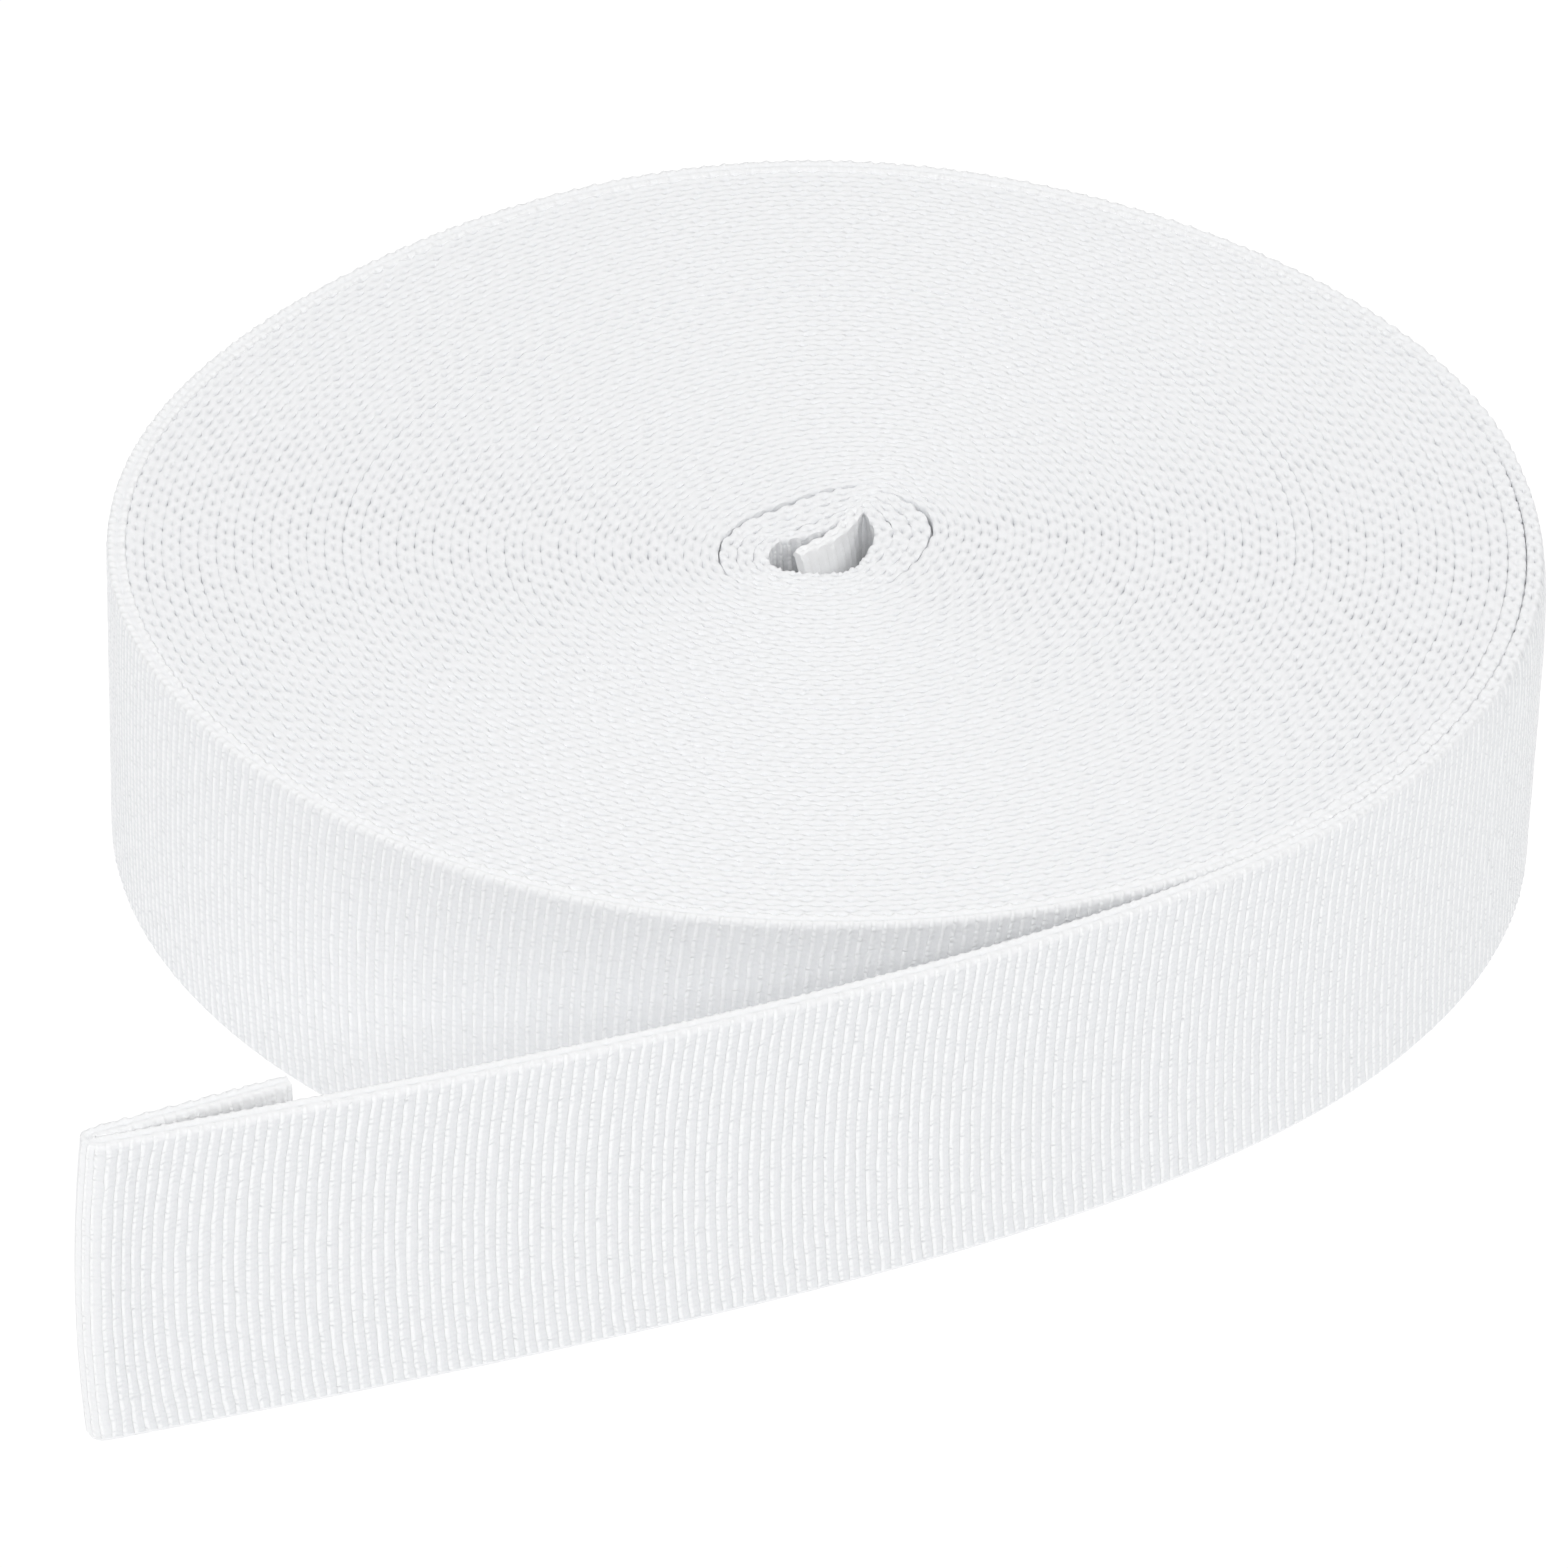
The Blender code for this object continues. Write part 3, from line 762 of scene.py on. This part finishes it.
def nylon_material():
    """White nylon: slightly cool, a soft silky gloss, with a painted highlight on its cords, painted
    shade in the grooves between them and in the dips between edge loops, and painted light where the
    web lies in shade.
    """
    material = bpy.data.materials.new("white_nylon")
    material.use_nodes = True
    tree = material.node_tree
    shader = tree.nodes["Principled BSDF"]
    weave = add_node(tree, "ShaderNodeGroup", node_tree=woven_group())
    place = add_node(tree, "ShaderNodeUVMap", uv_map="weave")
    ribbed = add_node(tree, "ShaderNodeAttribute", attribute_name="ribbed")
    tree.links.new(place.outputs["UV"], weave.inputs["Place"])
    tree.links.new(ribbed.outputs["Fac"], weave.inputs["Ribbed"])
    weave.inputs["Rib Pitch"].default_value = RIB_PITCH
    weave.inputs["Warp Pitch"].default_value = WARP_PITCH
    # Painted highlight on the cords and painted shade in the grooves, mixed by the weave's value.
    colour = add_node(tree, "ShaderNodeMix", data_type="RGBA")
    tree.links.new(weave.outputs["Weave"], colour.inputs[0])
    colour.inputs[6].default_value = NYLON_GROOVE_SHADE
    colour.inputs[7].default_value = NYLON_LIGHT
    # Painted shade in the dips between the edge loops.
    dip = add_node(tree, "ShaderNodeAttribute", attribute_name="dip")
    dip_shade_mix = add_node(tree, "ShaderNodeMix", data_type="RGBA", in7=NYLON_DIP_SHADE)
    tree.links.new(dip.outputs["Fac"], dip_shade_mix.inputs[0])
    tree.links.new(colour.outputs[2], dip_shade_mix.inputs[6])
    # Painted light: the colour is lifted towards a paler white where the web lies in shade and where
    # light shines through its selvages.
    pale = add_node(tree, "ShaderNodeAttribute", attribute_name="pale")
    share = maths(tree, "MULTIPLY", pale.outputs["Fac"], PAINTED_LIGHT_MOST)
    paler = add_node(tree, "ShaderNodeMix", data_type="RGBA", in7=NYLON_PAINTED_LIGHT)
    tree.links.new(share, paler.inputs[0])
    tree.links.new(dip_shade_mix.outputs[2], paler.inputs[6])
    tree.links.new(paler.outputs[2], shader.inputs["Base Color"])
    bump = add_node(tree, "ShaderNodeBump")
    bump.inputs["Distance"].default_value = BUMP_HEIGHT
    bump.inputs["Strength"].default_value = 1.0
    tree.links.new(weave.outputs["Weave"], bump.inputs["Height"])
    tree.links.new(bump.outputs["Normal"], shader.inputs["Normal"])
    shader.inputs["Roughness"].default_value = 0.55
    shader.inputs["Specular IOR Level"].default_value = 0.4
    shader.inputs["Sheen Weight"].default_value = 0.15
    shader.inputs["Sheen Roughness"].default_value = 0.5
    return material


nylon = nylon_material()


def lay_web(piece):
    """Gives a stretch of web its material and hangs it on the root body's empty."""
    piece.data.materials.append(nylon)
    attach(piece, "root")


# The inner end and the three tight turns round it. The end sticks out into the hole on edge, so
# both of its ribbed faces show there.
CORE_CORNERS = 14
core_parts = (0.0, TIGHT_AT, RIB_PITCH / RIB_STEPS, CORE_CORNERS, CORE_CORNERS)
inner = web_piece("inner_end_and_core", *core_parts)
lay_web(inner)
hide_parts("inner_end")


# The wound turns, in four stretches. Only their upper edges and their feet show.
WOUND_STRETCHES = 4
cuts = np.linspace(TIGHT_AT, OUTER_AT, WOUND_STRETCHES + 1)
for number, (start, end) in enumerate(zip(cuts, cuts[1:])):
    turns = web_piece(f"wound_turns_{number + 1}", start, end, LOOP_PITCH / LOOP_STEPS, 0, 0)
    lay_web(turns)
    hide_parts("webbing_roll")


# The outermost turn, whose ribbed face is the roll's side. Its selvage, like the loose end's, is
# smoother than those of the turns wound under it.
# SMOOTH_EDGE also sets how much painted light these selvages get.
SMOOTH_EDGE = 0.7
SIDE_CORNERS = 18
side_parts = (OUTER_AT, LOOSE_AT, RIB_PITCH / RIB_STEPS, SIDE_CORNERS, 0, SMOOTH_EDGE)
outermost = web_piece("outermost_turn", *side_parts)
lay_web(outermost)
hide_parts("webbing_roll")


# The loose end: off the roll, along to its fold, and back behind itself to its cut edge.
LOOSE_OUTSIDE_CORNERS = 22
LOOSE_INSIDE_CORNERS = 14
SHORT_OF_END = 0.01
loose_corners = (LOOSE_OUTSIDE_CORNERS, LOOSE_INSIDE_CORNERS, SMOOTH_EDGE)
loose_ends_at = BACK_AT - SHORT_OF_END
loose = web_piece("loose_end_web", LOOSE_AT, loose_ends_at, RIB_PITCH / RIB_STEPS, *loose_corners)
lay_web(loose)
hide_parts("loose_end")


# The floor: a plain white surface lit from within, as on a light table, so that no shadow shows.
FLOOR_HALF = 6.0
FLOOR_HEIGHT = -0.0002
floor_mesh = bpy.data.meshes.new("floor")
corners = [(-FLOOR_HALF, -FLOOR_HALF), (FLOOR_HALF, -FLOOR_HALF)]
corners += [(FLOOR_HALF, FLOOR_HALF), (-FLOOR_HALF, FLOOR_HALF)]
floor_mesh.from_pydata([(x, y, FLOOR_HEIGHT) for x, y in corners], [], [(0, 1, 2, 3)])
floor = bpy.data.objects.new("floor", floor_mesh)
bpy.context.scene.collection.objects.link(floor)
floor_paint = bpy.data.materials.new("floor_white")
floor_paint.use_nodes = True
paint = floor_paint.node_tree.nodes["Principled BSDF"]
paint.inputs["Base Color"].default_value = (0.03, 0.03, 0.03, 1.0)
paint.inputs["Roughness"].default_value = 0.9
paint.inputs["Emission Color"].default_value = (1.0, 1.0, 1.0, 1.0)
paint.inputs["Emission Strength"].default_value = 1.0
floor_mesh.materials.append(floor_paint)


# The light: an even white tent with a soft lamp on each of the four sides, the one at the back the
# weakest. They shine in at a slant, so that the ribs and the rows of loops show.
TENT_LIGHT = 0.35
LAMPS = (
    ("left_lamp", (-1.5, -0.6, 1.7), 0.8, 14.5),
    ("right_lamp", (1.6, -0.6, 1.6), 0.8, 12.5),
    ("front_lamp", (0.1, -1.9, 1.5), 0.8, 15.0),
    ("back_lamp", (0.1, 1.9, 1.5), 0.8, 9.0),
)

world = bpy.data.worlds.new("tent")
world.use_nodes = True
world.node_tree.nodes["Background"].inputs["Color"].default_value = (1.0, 1.0, 1.0, 1.0)
world.node_tree.nodes["Background"].inputs["Strength"].default_value = TENT_LIGHT
bpy.context.scene.world = world
for name, place, size, power in LAMPS:
    lamp = bpy.data.objects.new(name, bpy.data.lights.new(name, "AREA"))
    bpy.context.scene.collection.objects.link(lamp)
    lamp.data.size = size
    lamp.data.energy = power
    lamp.location = place
    lamp.rotation_mode = "QUATERNION"
    lamp.rotation_quaternion = lamp.location.to_track_quat("Z", "Y")
bpy.context.scene.view_settings.view_transform = "Standard"
